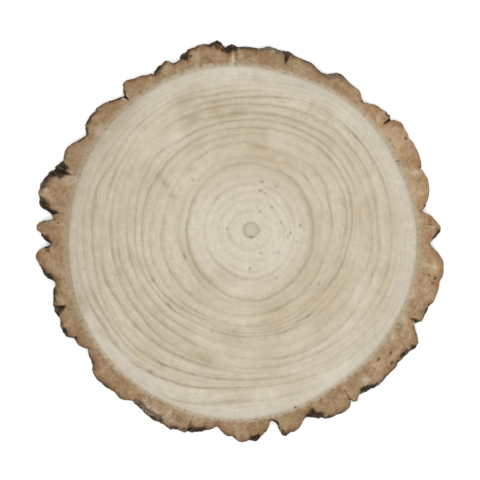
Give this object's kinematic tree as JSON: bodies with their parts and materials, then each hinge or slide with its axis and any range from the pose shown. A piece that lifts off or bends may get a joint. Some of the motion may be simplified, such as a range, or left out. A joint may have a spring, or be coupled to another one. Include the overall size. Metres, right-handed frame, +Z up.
{
  "type": "wood slice",
  "caption": "Round slice sawn across a tree trunk: two flat wood faces with growth rings round an off-centre pith, and furrowed bark left on the rim.",
  "frame": {"origin": "centre of the slice's bounding box at its lower sawn face, which is the face it rests on", "axes": "+Z up out of the upper sawn face, +Y towards the top of the picture and +X to its right"},
  "size_m": [0.3, 0.2974, 0.025],
  "materials": {
    "natural_wood": "pale end grain, fine-sawn and matt, inside rough bark that is tan where cut and grey to charcoal outside"
  },
  "bodies": {
    "root": {"wood_slice": "natural_wood"}
  },
  "joints": []
}
